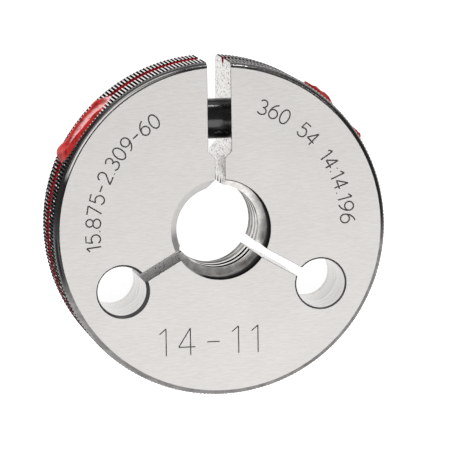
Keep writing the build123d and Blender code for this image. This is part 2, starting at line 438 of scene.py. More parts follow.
def knurled_rim(finish, sizes):
    """The knurl: bright crests from wear, darker with grime and painted shade down the front left and the
    upper right, valleys black with oily grime and painted shade, and red enamel in and beside the groove.
    """
    s = new_material("knurled_rim")
    place = s.millimetres()
    x, y, z = s.parts(place)
    blotch = s.noise(place, 1.6, 4.0)
    fine = s.noise(place, 9.0, 3.0)
    # 1 in the middle of each valley and -1 in the middle of each crest
    wave = (y.maths("ARCTAN2", y, x) * sizes.teeth - 2 * pi * (KNURL_COLUMNS - 1) / KNURL_COLUMNS).cosine()
    # the valleys are black with oily grime and painted shade
    valley = s.ramp(wave + fine * 0.5, -0.30, 0.0)
    forward = z - MID_MM
    off_centre = abs(forward)
    half_groove = sizes.groove_width / MM / 2
    # the crests are darker with grime and painted shade in the front half down the left side, with a few
    # bright spots, and down the upper right
    left_side = s.ramp(s.toward(x, y, 182), 0.70, 0.86)
    dirty_and_shaded = left_side * (0.78 + 0.22 * s.ramp(forward, half_groove + 0.1, half_groove + 0.5))
    spots = s.ramp(s.noise(s.scaled(place, 1.6, 1.6, 0.7), 1.0, 2.0), 0.56, 0.62)
    right_side = s.ramp(s.toward(x, y, 50), 0.70, 0.85)
    patchy = s.ramp(dirty_and_shaded * (1 - spots * 0.9) + right_side * 0.6, 0, 1)
    # the darker crest colour: grime and painted shade
    dirt_and_shade = tinted(finish.scale, 0.6)
    crest = s.mix(patchy, tinted(finish.steel, 1.15), dirt_and_shade)
    metal = s.mix(valley, crest, finish.soot_and_shade)
    groove = 1 - s.ramp(off_centre + fine * 0.1, half_groove + 0.02, half_groove + 0.12)
    beside = (1 - s.ramp(off_centre + blotch * 0.9, half_groove + 0.45, half_groove + 0.75)) * valley
    # the enamel has come away down the upper right
    painted = s.ramp(groove + beside, 0.4, 0.6) * (1 - s.ramp(s.toward(x, y, 58), 0.88, 0.91))
    # the enamel goes dark across the valleys too: grime and painted shade
    lined = s.ramp(wave + fine * 0.8, 0.75, 1.05) * s.ramp(blotch, 0.35, 0.55)
    enamel = s.mix(lined, finish.enamel, tinted(finish.enamel, 0.10))
    return s.surface({
        "Base Color": s.mix(painted, metal, enamel),
        "Metallic": 1 - s.ramp(painted + valley + patchy, 0.3, 0.9),
        "Roughness": 0.16 + valley * 0.4 + painted * 0.2 + fine * 0.08,
        "Specular IOR Level": 0.0,
        "Normal": s.bump(fine, 0.000004),
    })


def thread_steel(finish, sizes):
    """The lapped thread, smooth and bright, with painted shade in its grooves low down, dark scale and
    painted shade at its mouth on the right, and painted shade at its mouth on the left but for the upper
    left.
    """
    minor, _, root = [radius / MM for radius in thread_radii(sizes)]
    s = new_material("thread_steel")
    place = s.millimetres()
    x, y, z = s.parts(place)
    rings = s.noise(s.scaled(place, 0.3, 0.3, 14.0), 1.0, 2.0)
    stain = s.noise(place, 0.9, 3.0)
    radius = (x * x + y * y) ** 0.5
    from_face = face_depth(z)
    # dark scale and painted shade near the faces, on the right
    scale_and_shade_side = s.ramp(s.toward(x, y, 345), -0.40, -0.05)
    # the scale and painted shade cover the wall outside the thread's first turn
    wall = s.ramp(radius, root - 0.04, root - 0.02)
    right_side = s.ramp(s.toward(x, y, 10), 0.1, 0.6)
    deep = from_face + stain * 0.8 - wall * (right_side * 0.6 + 2.0)
    scale = (1 - s.ramp(deep, 0.3, 2.1)) * scale_and_shade_side
    # on the left the mouth is matt, with painted shade but for the upper left
    dull_and_shaded = (1 - s.ramp(from_face, 1.3, 1.7)) * (1 - scale_and_shade_side)
    # painted shade in the thread's grooves below the ledge, heaviest towards the bottom
    groove_shade_side = 0.30 + 0.70 * s.ramp(s.toward(x, y, 288), 0.55, 0.85)
    # the depth below the ledge that the milled first turn leaves
    ledge = sizes.start_depth / MM - y.maths("ARCTAN2", y, x) * (sizes.pitch / MM / (2 * pi))
    inside = s.ramp(from_face - ledge, 0.15, 0.45)
    groove_shade = s.ramp(radius, minor + 0.02, minor + 0.07) * inside * groove_shade_side
    dark = tinted(finish.steel, 0.70)
    light = tinted(finish.steel, 1.05)
    metal = s.mix(s.ramp(stain, 0.35, 0.65), dark, light)
    shaded = tinted(finish.steel, 0.40)
    metal = s.mix(dull_and_shaded, metal, s.mix(s.ramp(s.toward(x, y, 140), 0.62, 0.85), shaded, finish.steel))
    # scale and painted shade, darkest at the mouth
    mouth_scale_and_shade = tinted(finish.scale, 0.15)
    scale_and_shade = s.mix(s.ramp(from_face, 0.6, 2.6), mouth_scale_and_shade, tinted(finish.scale, 0.8))
    chalky = (1 - inside) * (1 - right_side) * 0.8
    return s.surface({
        "Base Color": s.mix(groove_shade, s.mix(scale, metal, scale_and_shade), finish.soot_and_shade),
        "Metallic": 1 - s.ramp(scale * 1.2 + dull_and_shaded + chalky + groove_shade, 0, 1),
        "Roughness": 0.10 + stain * 0.10 + (1 - inside) * 0.24,
        "Specular IOR Level": 0.0,
        "Normal": s.bump(rings, 0.0000015),
    })


def bored_steel(finish):
    """The bored holes: bright, with tool rings that follow the bore and a few pits at its mouth."""
    s = new_material("bored_steel")
    place = s.millimetres()
    warp = s.noise(place, 0.30, 1.0)
    z = s.parts(place)[2]
    along = s.add("CombineXYZ", None, {"Z": z + warp * 3.0})
    rings = s.noise(along, 0.9, 4.0, 0.8)
    tone = s.ramp(rings, 0.36, 0.56)
    from_face = face_depth(z)
    pits = s.ramp(s.noise(place, 2.2, 4.0, 0.7), 0.60, 0.66) * (1 - s.ramp(from_face, 1.0, 3.0))
    dark = tinted(finish.steel, 0.42)
    walls = s.mix(tone, dark, tinted(finish.steel, 0.84))
    return s.surface({
        "Base Color": s.mix(pits, walls, finish.scale),
        "Metallic": 1.0,
        "Roughness": 0.12 + rings * 0.16,
        "Normal": s.bump(rings, 0.000004),
    })


def cut_steel(finish, sizes):
    """The slots' walls: speckled with small dark pits, the left one sawn dark, with a run of enamel."""
    s = new_material("cut_steel")
    place = s.millimetres()
    x, y, z = s.parts(place)
    speckle = s.noise(s.scaled(place, 3.4, 3.4, 1.8), 1.0, 3.0, 0.6)
    pits = s.ramp(speckle, 0.585, 0.625)
    lines = s.noise(s.scaled(place, 5.0, 5.0, 0.5), 1.0, 3.0, 0.6)
    pale = s.mix(s.ramp(lines, 0.3, 0.6), tinted(finish.steel, 0.72), tinted(finish.steel, 1.02))
    # darker at the broken edges, and near the front face in the slot's narrow part
    from_front = THICKNESS / MM - z
    narrow = (1 - s.ramp(y, 9.4, 10.4)) * s.ramp(y, 0, 1) * (1 - s.ramp(from_front, 2.2, 2.8))
    edges = 1 - s.ramp(face_depth(z), 0.10, 0.30)
    shade = s.ramp(edges * 0.85 + narrow * 0.45, 0, 1)
    pale = s.mix(shade, pale, tinted(finish.steel, 0.15))
    sawn = 1 - s.ramp(x, -4.0, -3.0)
    pale = s.mix(sawn, pale, s.mix(lines, tinted(finish.steel, 0.15), tinted(finish.steel, 0.5)))
    metal = s.mix(pits, pale, tinted(finish.steel, 0.12))
    groove_floor = (RING_RADIUS - sizes.groove_depth) / MM
    across = abs(z - MID_MM) + speckle * 0.5
    run = (1 - s.ramp(across, 0.55, 0.75)) * s.ramp(y + speckle, groove_floor - 0.30, groove_floor - 0.10)
    return s.surface({
        "Base Color": s.mix(run, metal, finish.enamel),
        "Metallic": 1 - run,
        "Roughness": 0.12 + lines * 0.10 + pits * 0.3,
        "Specular IOR Level": 0.2,
        "Normal": s.bump(lines - pits, 0.000003),
    })


def hardening_scale(finish):
    """The dark scale that hardening left on the terminal holes' chamfers."""
    s = new_material("hardening_scale")
    grit = s.noise(s.millimetres(), 5.0, 3.0)
    lighter = tinted(finish.scale, 1.3)
    return s.surface({
        "Base Color": s.mix(grit, finish.scale, lighter),
        "Metallic": 0.4,
        "Roughness": 0.35 + grit * 0.2,
        "Specular IOR Level": 0.2,
    })


def etched_mark(finish):
    """The filling of the engraved strokes."""
    s = new_material("etched_mark")
    grit = s.noise(s.millimetres(), 12.0, 2.0)
    lighter = tinted(finish.etch, 2.2)
    return s.surface({"Base Color": s.mix(grit, finish.etch, lighter), "Roughness": 0.55 + grit * 0.2})


def black_oxide(finish):
    """Blackened steel of the sleeve and screws: glossy, with a little wear."""
    s = new_material("black_oxide")
    place = s.millimetres()
    turned = s.noise(s.scaled(place, 7.0, 0.8, 0.8), 1.0, 3.0, 0.6)
    wear_and_sheen = s.ramp(s.noise(place, 4.0, 4.0, 0.7), 0.60, 0.72)
    return s.surface({
        "Base Color": s.mix(wear_and_sheen, finish.oxide, tinted(finish.oxide, 6)),
        "Metallic": 0.0,
        "Roughness": 0.10 + turned * 0.14,
        "Normal": s.bump(turned, 0.000008),
    })


def sealing_wax(finish):
    """Red wax: glossy, with a pale painted sheen in its hollow and at its upper end, and painted shade in
    its folds.
    """
    s = new_material("sealing_wax")
    place = s.millimetres()
    x, y, _ = s.parts(place)
    height = (x * x + y * y) ** 0.5 - RIM_MM
    streaks = s.noise(s.scaled(place, 1.0, 1.0, 0.6), 0.9, 3.0, 0.6)
    folds = s.noise(s.scaled(place, 0.9, 0.9, 1.3), 1.0, 3.0, 0.65)
    hollow = 1 - s.ramp(height + streaks * 0.4, -0.45, 0.15)
    hollow = hollow * s.ramp(s.toward(abs(x), y, 39.5), 0.982, 0.990)
    upper_end = s.ramp(s.toward(x, y, 124), 0.991, 0.998)
    # a pale painted sheen over the hollow and the upper end
    sheen_mask = s.ramp(streaks, 0.33, 0.50) * s.ramp(hollow + upper_end * 0.8, 0, 1)
    # painted shade in the folds, where the bump dips
    deep = tinted(finish.wax, 0.45)
    body = s.mix(s.ramp(folds, 0.36, 0.52), deep, finish.wax)
    return s.surface({
        "Base Color": s.mix(sheen_mask * 0.8, body, finish.painted_sheen),
        "Roughness": 0.45 - hollow * 0.30,
        "Specular IOR Level": 0.1,
        "Coat Weight": hollow * 0.6,
        "Normal": s.bump(folds, 0.00004),
    })


# ---------------------------------------------------------------- meshes


def new_piece(name, mesh_data, materials=(), slot_name=None):
    """Links a finished mesh as a piece, which rides on the gauge's only body when it is given a slot name.
    """
    for material in materials:
        mesh_data.materials.append(material)
    piece = bpy.data.objects.new(name, mesh_data)
    bpy.context.scene.collection.objects.link(piece)
    if slot_name:
        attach(piece, "root")
    return piece


def faced_out(mesh):
    """The bmesh, with its faces turned outwards."""
    bmesh.ops.recalc_face_normals(mesh, faces=mesh.faces)
    return mesh


def only(geometry, kind):
    """The items of one kind, such as bmesh.types.BMVert, in what an operator returned."""
    return [item for item in geometry if isinstance(item, kind)]


def spun(profile, axis=(0, 0, 1), centre=(0, 0, 0), segments=HOLE_SEGMENTS, closed=False):
    """A bmesh of a profile turned all the way round an axis; its open ends lie on the axis."""
    mesh = bmesh.new()
    corners = [mesh.verts.new(point) for point in profile]
    edges = [mesh.edges.new(pair) for pair in zip(corners, corners[1:])]
    if closed:
        edges.append(mesh.edges.new((corners[-1], corners[0])))
    bmesh.ops.spin(
        mesh, geom=corners + edges, cent=centre, axis=axis, angle=2 * pi, steps=segments, use_merge=True
    )
    bmesh.ops.remove_doubles(mesh, verts=mesh.verts, dist=MERGE_DISTANCE)
    return faced_out(mesh)


def screwed(section, pitch, turn, bearing=0.0):
    """A closed profile of (radius, height) points screwed round Z; a negative turn falls clockwise."""
    mesh = bmesh.new()
    face = mesh.faces.new([mesh.verts.new((radius, 0, height)) for radius, height in section])
    bmesh.ops.rotate(mesh, verts=mesh.verts, cent=(0, 0, 0), matrix=Matrix.Rotation(bearing, 3, "Z"))
    bmesh.ops.spin(
        mesh,
        geom=[face, *face.edges, *face.verts],
        axis=(0, 0, 1),
        dvec=(0, 0, copysign(pitch / THREAD_SEGMENTS, turn)),
        angle=turn,
        steps=round(THREAD_SEGMENTS * abs(turn) / (2 * pi)),
    )
    return faced_out(mesh)


def upright(levels, centre=(0, 0, 0), segments=HOLE_SEGMENTS):
    """A tool of (radius, height) points spun round an upright axis."""
    profile = [Vector(centre) + Vector((out, 0, height)) for out, height in levels]
    return spun(profile, centre=centre, segments=segments)


def crosswise(steps, closed=False):
    """A shape of (place along X, radius) points spun round the cross hole's axis."""
    profile = [CROSS_HOLE + Vector((along, out, 0)) for along, out in steps]
    return spun(profile, axis=(1, 0, 0), centre=CROSS_HOLE, closed=closed)


def finished(mesh, name, sharp=SHARP_ANGLE):
    """Writes a bmesh to a mesh that is smooth but for edges sharper than an angle in degrees."""
    data = bpy.data.meshes.new(name)
    mesh.to_mesh(data)
    mesh.free()
    data.shade_smooth()
    data.set_sharp_from_angle(angle=radians(sharp))
    return data


def evaluated_mesh(piece):
    """The mesh of an object with its modifiers applied, or of a curve with its bevel."""
    depsgraph = bpy.context.evaluated_depsgraph_get()
    return bpy.data.meshes.new_from_object(piece.evaluated_get(depsgraph), depsgraph=depsgraph)


class Cutters:
    """Tools that are cut out of a piece. The faces that each leaves carry its material slot."""

    def __init__(self, slots):
        self.slots = slots
        self.collection = bpy.data.collections.new("cutters")
        bpy.context.scene.collection.children.link(self.collection)

    def take(self, mesh, slot_index):
        """Adds a bmesh as a tool. One that isn't closed would cut nothing, so it stops the script."""
        loose = sum(not edge.is_manifold for edge in mesh.edges)
        if loose or mesh.calc_volume() <= 0:
            raise RuntimeError(f"a tool for slot {slot_index} isn't closed: {loose} open edges")
        for face in mesh.faces:
            face.material_index = slot_index
        data = bpy.data.meshes.new("cutter")
        mesh.to_mesh(data)
        mesh.free()
        for material in self.slots:
            data.materials.append(material)
        self.collection.objects.link(bpy.data.objects.new("cutter", data))

    def cut(self, piece):
        """Cuts all the tools out of the piece, and deletes them."""
        modifier = piece.modifiers.new("cut", "BOOLEAN")
        modifier.operation = "DIFFERENCE"
        modifier.solver = "MANIFOLD"
        modifier.operand_type = "COLLECTION"
        modifier.collection = self.collection
        data = evaluated_mesh(piece)
        piece.modifiers.clear()
        piece.data = data
        for tool in list(self.collection.objects):
            bpy.data.meshes.remove(tool.data)
        bpy.data.collections.remove(self.collection)


# ---------------------------------------------------------------- ring


def thread_radii(sizes):
    """Minor, pitch and root radius of the thread."""
    sharp_height = sizes.pitch / 2 / tan(sizes.thread_angle / 2)
    at_pitch = (sizes.major_diameter - sharp_height * 3 / 4 - sizes.allowance) / 2
    return at_pitch - sharp_height / 8, at_pitch, sizes.major_diameter / 2 + sizes.root_relief


def half_profile(sizes):
    """The rim's outline from the front face down to the middle of the marking groove's floor."""
    drop = sizes.land * tan(sizes.land_angle)
    width, depth = sizes.bevel_width - sizes.land, sizes.bevel_depth - drop
    lead = width * sizes.bevel_round
    bevel = [(RING_RADIUS - sizes.bevel_width, THICKNESS)]
    for step in range(BEVEL_STEPS + 1):
        part = step / BEVEL_STEPS
        leaving = 2 * part * (1 - part) * lead
        fall = drop + leaving * tan(sizes.bevel_start) + part**2 * depth
        bevel.append((RING_RADIUS - width + leaving + part**2 * width, THICKNESS - fall))
    side = sizes.groove_depth * tan(sizes.groove_angle / 2)
    floor = RING_RADIUS - sizes.groove_depth
    return bevel + [
        (RING_RADIUS, MID_PLANE + sizes.groove_width / 2),
        (floor, MID_PLANE + sizes.groove_width / 2 - side),
    ]


def sink_valleys(mesh, sizes):
    """Moves each tooth's valley in, as far as the bevel at one end and the groove's side at the other."""
    column = 2 * pi / (sizes.teeth * KNURL_COLUMNS)
    valley = RING_RADIUS - sizes.tooth_depth
    for corner in mesh.verts:
        radius = hypot(corner.co.x, corner.co.y)
        at_valley = round(atan2(corner.co.y, corner.co.x) / column) % KNURL_COLUMNS == 2
        if at_valley and radius > valley:
            corner.co.xy *= valley / radius
            height = corner.co.z - MID_PLANE
            if abs(height) < sizes.groove_width:
                corner.co.z -= copysign(sizes.tooth_depth * tan(sizes.groove_angle / 2), height)


def ring_blank(sizes):
    """The solid disc before its holes: flat faces, rounded bevels, knurled rim and groove."""
    upper = half_profile(sizes)
    outline = upper + [(radius, THICKNESS - height) for radius, height in reversed(upper)]
    mesh = bmesh.new()
    corners = [mesh.verts.new((radius, 0, height)) for radius, height in outline]
    edges = [mesh.edges.new(pair) for pair in zip(corners, corners[1:])]
    columns = sizes.teeth * KNURL_COLUMNS
    bmesh.ops.spin(
        mesh,
        geom=corners + edges,
        cent=(0, 0, 0),
        axis=(0, 0, 1),
        angle=2 * pi,
        steps=columns,
        use_merge=True,
    )
    rims = [edge for edge in mesh.edges if edge.is_boundary]
    bmesh.ops.holes_fill(mesh, edges=rims, sides=0)
    faced_out(mesh)
    sink_valleys(mesh, sizes)
    knurl_top = THICKNESS - sizes.bevel_depth
    for face in mesh.faces:
        # the two flat faces are the only ones with more than four corners
        height = face.calc_center_median().z
        if len(face.verts) > 4:
            face.material_index = FACE
        elif abs(height - MID_PLANE) > knurl_top - MID_PLANE:
            face.material_index = BEVEL
        else:
            face.material_index = KNURL
    return mesh


def bore_cutter(sizes):
    """The countersunk bore at the thread's minor diameter."""
    minor, _, _ = thread_radii(sizes)
    countersunk = sizes.major_diameter / 2 + sizes.countersink
    depth = countersunk - minor
    past = 1 * MM
    levels = [
        (0, -past),
        (countersunk + past, -past),
        (minor, depth),
        (minor, THICKNESS - depth),
        (countersunk + past, THICKNESS + past),
        (0, THICKNESS + past),
    ]
    return upright(levels, segments=BORE_SEGMENTS)


def start_cutter(sizes):
    """Mills away the thread's first turn, clockwise from the adjusting slot to the left flex slot."""
    start, end = radians(START_BEARINGS[0]), radians(START_BEARINGS[1])
    root = thread_radii(sizes)[2]
    low = THICKNESS - sizes.start_depth + sizes.pitch * start / (2 * pi)
    high = THICKNESS + 2 * MM
    # the inner side only has to lie inside the bore
    inner = root * 0.7
    section = [(inner, low), (root, low), (root, high), (inner, high)]
    return screwed(section, sizes.pitch, end - start, start)


def thread_cutter(sizes):
    """The thread's space: a trapezoid screwed up through the bore, right-handed."""
    minor, at_pitch, root = thread_radii(sizes)
    mouth = minor - (at_pitch - minor)
    start = -2 * sizes.pitch
    turns = ceil(THICKNESS / sizes.pitch) + 4

    def half_width(radius):
        return sizes.pitch / 4 - (radius - at_pitch) * tan(sizes.thread_angle / 2)

    section = [
        (mouth, start - half_width(mouth)),
        (root, start - half_width(root)),
        (root, start + half_width(root)),
        (mouth, start + half_width(mouth)),
    ]
    return screwed(section, sizes.pitch, 2 * pi * turns)


def slot_cutter(half_outline, bearing, edge_break):
    """A slot from its half outline of (half width, distance) points, with its edges broken."""
    mesh = bmesh.new()
    outline = half_outline + [(-across, out) for across, out in reversed(half_outline)]
    base = mesh.faces.new([mesh.verts.new((across, out, -edge_break)) for across, out in outline])
    layer = [base]
    for height in (edge_break, THICKNESS - edge_break, THICKNESS + edge_break):
        raised = bmesh.ops.extrude_face_region(mesh, geom=layer)["geom"]
        for corner in only(raised, bmesh.types.BMVert):
            corner.co.z = height
        if layer != [base]:
            bmesh.ops.delete(mesh, geom=layer, context="FACES_ONLY")
        layer = only(raised, bmesh.types.BMFace)
    for corner in mesh.verts:
        if abs(corner.co.z - MID_PLANE) > MID_PLANE:
            corner.co.x += copysign(2 * edge_break, corner.co.x)
    faced_out(mesh)
    turn = Matrix.Rotation(bearing - pi / 2, 3, "Z")
    bmesh.ops.rotate(mesh, verts=mesh.verts, cent=(0, 0, 0), matrix=turn)
    return mesh


def hole_cutter(centre, sizes):
    """A terminal hole."""
    radius, past = sizes.hole_diameter / 2, 1 * MM
    levels = [(0, -past), (radius, -past), (radius, THICKNESS + past), (0, THICKNESS + past)]
    return upright(levels, centre)


def chamfer_cutter(centre, width, sizes):
    """Two joined cones that chamfer both ends of a terminal hole, to a width in the faces."""
    edge = sizes.hole_diameter / 2 + width
    depth = width + 0.2 * MM
    levels = [
        (0, -width),
        (edge + width, -width),
        (edge - depth, depth),
        (edge - depth, THICKNESS - depth),
        (edge + width, THICKNESS + width),
        (0, THICKNESS + width),
    ]
    return upright(levels, centre)


def cross_hole_cutter(sizes):
    """The stepped cross hole: counterbore, shank hole, sleeve bore and adjusting-screw hole."""
    seat = locking_low.x + sizes.head_height
    bore_end = sleeve_high.x - sizes.sleeve_projection
    past = RING_RADIUS
    counterbore = sizes.counterbore / 2
    shank = sizes.shank_diameter / 2
    sleeve = SLEEVE_RADIUS + sizes.sleeve_fit
    screw = ADJUSTING_SCREW_RADIUS + sizes.screw_fit
    steps = [
        (-past, 0),
        (-past, counterbore),
        (seat, counterbore),
        (seat, shank),
        (sleeve_low.x, shank),
        (sleeve_low.x, sleeve),
        (bore_end, sleeve),
        (bore_end, screw),
        (past, screw),
        (past, 0),
    ]
    return crosswise(steps)


class GAUGE_OT_ring(bpy.types.Operator):
    """Model the knurled split ring with its thread, slots and holes"""

    bl_idname = "gauge.ring"
    bl_label = "Knurled Ring"

    def execute(self, context):
        sizes = context.scene.gauge_ring
        finish = context.scene.gauge_finishes
        slots = [
            ground_face(finish),
            bevelled_rim(finish),
            knurled_rim(finish, sizes),
            thread_steel(finish, sizes),
            bored_steel(finish),
            cut_steel(finish, sizes),
            hardening_scale(finish),
            etched_mark(finish),
        ]
        data = bpy.data.meshes.new("ring_body")
        blank = ring_blank(sizes)
        blank.to_mesh(data)
        blank.free()
        ring = new_piece("ring_body", data, slots, "hardened_steel")
        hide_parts("gauge_ring")

        for tool in (bore_cutter, thread_cutter, start_cutter):
            cutters = Cutters(slots)
            cutters.take(tool(sizes), THREAD)
            cutters.cut(ring)

        openings = Cutters(slots)
        hole_distance = RING_RADIUS - sizes.hole_setback
        flex_outline = [(sizes.flex_width / 2, 0), (sizes.flex_width / 2, hole_distance)]
        for side in (1, -1):
            bearing = pi / 2 + side * sizes.flex_angle
            openings.take(slot_cutter(flex_outline, bearing, sizes.slot_break), CUT)
            centre = Vector((hole_distance * cos(bearing), hole_distance * sin(bearing), 0))
            openings.take(hole_cutter(centre, sizes), BORED)
            # the left hole's chamfers are wider and out of true
            aside = sizes.chamfer_shift * max(0, side)
            shifted = centre + Vector((aside, -aside / 2, 0))
            openings.take(chamfer_cutter(shifted, sizes.hole_chamfer + aside * 0.7, sizes), SCALE)
        taper_start = CROSS_HOLE_Y - sizes.slot_shoulder
        taper_end = taper_start + (sizes.slot_width - sizes.flex_width) / 2
        adjusting_outline = [
            (sizes.flex_width / 2, 0),
            (sizes.flex_width / 2, taper_start),
            (sizes.slot_width / 2, taper_end),
            (sizes.slot_width / 2, RING_RADIUS * 1.1),
        ]
        openings.take(slot_cutter(adjusting_outline, pi / 2, sizes.slot_break), CUT)
        tip = sizes.major_diameter / 2 + 0.1 * MM
        reach = sizes.chip * 4 / 3
        chip_outline = [(reach, 0), (reach, tip - reach), (0.02 * MM, tip)]
        openings.take(slot_cutter(chip_outline, radians(CHIP_BEARING), sizes.slot_break), CUT)
        openings.take(cross_hole_cutter(sizes), BORED)
        openings.cut(ring)
        return {"FINISHED"}


# ---------------------------------------------------------------- engraved numbers


def arc(x, y, across, up, start, end):
    """Points on an ellipse, from a start to an end angle in degrees."""
    steps = max(4, round(abs(end - start) / 15))
    turns = [radians(start + (end - start) * step / steps) for step in range(steps + 1)]
    return [(x + across * cos(turn), y + up * sin(turn)) for turn in turns]


# single-stroke characters, one unit high: width, then strokes
CHARACTERS = {
    "0": (0.62, [arc(0.31, 0.5, 0.31, 0.5, 0, 360)]),
    "1": (0.30, [[(0.02, 0.80), (0.26, 1)], [(0.26, 1), (0.26, 0)]]),
    "2": (0.60, [arc(0.31, 0.70, 0.29, 0.30, 165, -35) + [(0.02, 0)], [(0.02, 0), (0.60, 0)]]),
    "3": (0.60, [arc(0.29, 0.745, 0.26, 0.255, 150, -90), arc(0.29, 0.25, 0.31, 0.25, 90, -150)]),
    "4": (0.62, [[(0.62, 0.30), (0, 0.30)], [(0, 0.30), (0.44, 1)], [(0.44, 1), (0.44, 0)]]),
    "5": (0.61, [[(0.56, 1), (0.12, 1), (0.07, 0.55)], arc(0.30, 0.32, 0.31, 0.32, 138, -150)]),
    "6": (0.61, [arc(0.31, 0.31, 0.30, 0.31, 0, 360), arc(0.66, 0.31, 0.65, 0.72, 105, 180)]),
    "7": (0.60, [[(0, 1), (0.60, 1)], [(0.60, 1), (0.20, 0)]]),
    "8": (0.62, [arc(0.31, 0.755, 0.26, 0.245, 0, 360), arc(0.31, 0.26, 0.31, 0.26, 0, 360)]),
    "9": (0.61, [arc(0.31, 0.69, 0.30, 0.31, 0, 360), arc(-0.04, 0.69, 0.65, 0.72, 0, -75)]),
    ".": (0.04, [[(0.02, 0.0), (0.02, 0.06)]]),
    ":": (0.04, [[(0.02, 0.14), (0.02, 0.20)], [(0.02, 0.66), (0.02, 0.72)]]),
    "-": (0.50, [[(0.02, 0.46), (0.48, 0.46)]]),
    " ": (0.56, []),
}


def stroke_cutter(points, radius, depth):
    """A ball cutter run along points in the front face, as a closed bmesh."""
    curve = bpy.data.curves.new("stroke", "CURVE")
    curve.dimensions = "3D"
    curve.bevel_depth = radius
    curve.bevel_resolution = 1
    curve.use_fill_caps = True
    closed = (points[0] - points[-1]).length < 1e-6
    path = points[:-1] if closed else points
    spline = curve.splines.new("POLY")
    spline.points.add(len(path) - 1)
    spline.use_cyclic_u = closed
    for target, point in zip(spline.points, path):
        target.co = (point.x, point.y, THICKNESS + radius - depth, 1)
    holder = bpy.data.objects.new("stroke", curve)
    bpy.context.scene.collection.objects.link(holder)
    tube = bmesh.new()
    tube.from_mesh(evaluated_mesh(holder))
    bpy.data.curves.remove(curve)
    bmesh.ops.remove_doubles(tube, verts=tube.verts, dist=MERGE_DISTANCE)
    return faced_out(tube)


def legend_width(text, spacing):
    """Width of a number whose characters are one unit high."""
    return sum(CHARACTERS[mark][0] + spacing for mark in text) - spacing


def curved_strokes(text, start, sizes):
    """Strokes of a number that reads clockwise round the thread's axis, tops outwards."""
    along = 0
    for mark in text:
        width, strokes = CHARACTERS[mark]
        bearing = start - (along + width / 2) * sizes.height / sizes.arc_radius
        up = Vector((cos(bearing), sin(bearing)))
        right = Vector((up.y, -up.x))
        for stroke in strokes:
            yield [
                up * (sizes.arc_radius + (y - 0.5) * sizes.height) + right * (x - width / 2) * sizes.height
                for x, y in stroke
            ]
        along += width + sizes.spacing


def straight_strokes(text, sizes):
    """Strokes of a number that stands level below the bore."""
    height = sizes.lower_height
    left = -legend_width(text, sizes.lower_spacing) * height / 2 - sizes.lower_shift
    for mark in text:
        width, strokes = CHARACTERS[mark]
        for stroke in strokes:
            yield [
                Vector((left + x * height, (y - 0.5) * height - sizes.lower_drop)) for x, y in stroke
            ]
        left += (width + sizes.lower_spacing) * height


class GAUGE_OT_numbers(bpy.types.Operator):
    """Engrave the numbers in the ring's front face"""

    bl_idname = "gauge.numbers"
    bl_label = "Engraved Numbers"

    def execute(self, context):
        sizes = context.scene.gauge_legend
        ring = bpy.data.objects["ring_body"]
        cutters = Cutters(list(ring.data.materials))
        for text, start in ((sizes.left, sizes.left_start), (sizes.right, sizes.right_start)):
            for stroke in curved_strokes(text, start, sizes):
                cutters.take(stroke_cutter(stroke, sizes.stroke_radius, sizes.stroke_depth), MARK)
        for stroke in straight_strokes(sizes.lower, sizes):
            cutters.take(stroke_cutter(stroke, sizes.lower_radius, sizes.stroke_depth), MARK)
        cutters.cut(ring)
        ring.data.shade_smooth()
        ring.data.set_sharp_from_angle(angle=radians(SHARP_ANGLE))
        for face in ring.data.polygons:
            if face.material_index == FACE:
                face.use_smooth = False
        return {"FINISHED"}


# ---------------------------------------------------------------- locking device


class GAUGE_OT_locking_device(bpy.types.Operator):
    """Model the sleeve that crosses the slot, and blacken it and the two screws"""

    bl_idname = "gauge.locking_device"
    bl_label = "Locking Device"

    def execute(self, context):
        sizes = context.scene.gauge_lock
        oxide = black_oxide(context.scene.gauge_finishes)
        outer, inner, chamfer = SLEEVE_RADIUS, sizes.bore / 2, sizes.chamfer
        section = [
            (sleeve_low.x, inner),
            (sleeve_low.x, outer - chamfer),
            (sleeve_low.x + chamfer, outer),
            (sleeve_high.x - chamfer, outer),
            (sleeve_high.x, outer - chamfer),
            (sleeve_high.x, inner),
        ]
        mesh = crosswise(section, closed=True)
        sleeve = new_piece("sleeve_body", finished(mesh, "sleeve_body"), [oxide], "black_oxide_steel")
        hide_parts("alignment_sleeve")
        for name in ("adjusting_screw", "locking_screw"):
            frame["nodes"][name].material_slots[0].material = oxide
        return {"FINISHED"}


# ---------------------------------------------------------------- wax seals


def smooth(value, low, high):
    """Rises smoothly from 0 where value is low to 1 where it is high."""
    part = min(1, max(0, (value - low) / (high - low)))
    return part * part * (3 - 2 * part)


# Each ridge is a share of the ridge at the seal's ends, and the heel is how much higher the end away from
# the slot stands. The lifted end is 0, or the side whose end has come away from the rim.
SEAL_SHAPES = {
    "locking_seal_wax": {"front_ridge": 0.85, "back_ridge": 0.1, "heel": 0.0, "lifted_end": 0},
    "adjusting_seal_wax": {"front_ridge": 0.0, "back_ridge": 0.1, "heel": 0.60, "lifted_end": 1},
}
RAGGED_COARSE, RAGGED_FINE = 0.045, 0.02  # how far the outline strays, as shares of its size
END_START, LIFTED_END_START, END_REACH = 0.40, 0.18, 0.40  # where an end rises, in half spans
BACK_LEAN = 0.20  # how much narrower the back half is between the ends
LIFTED_GAP = 0.42 * MM  # between the rim and the end that has come away


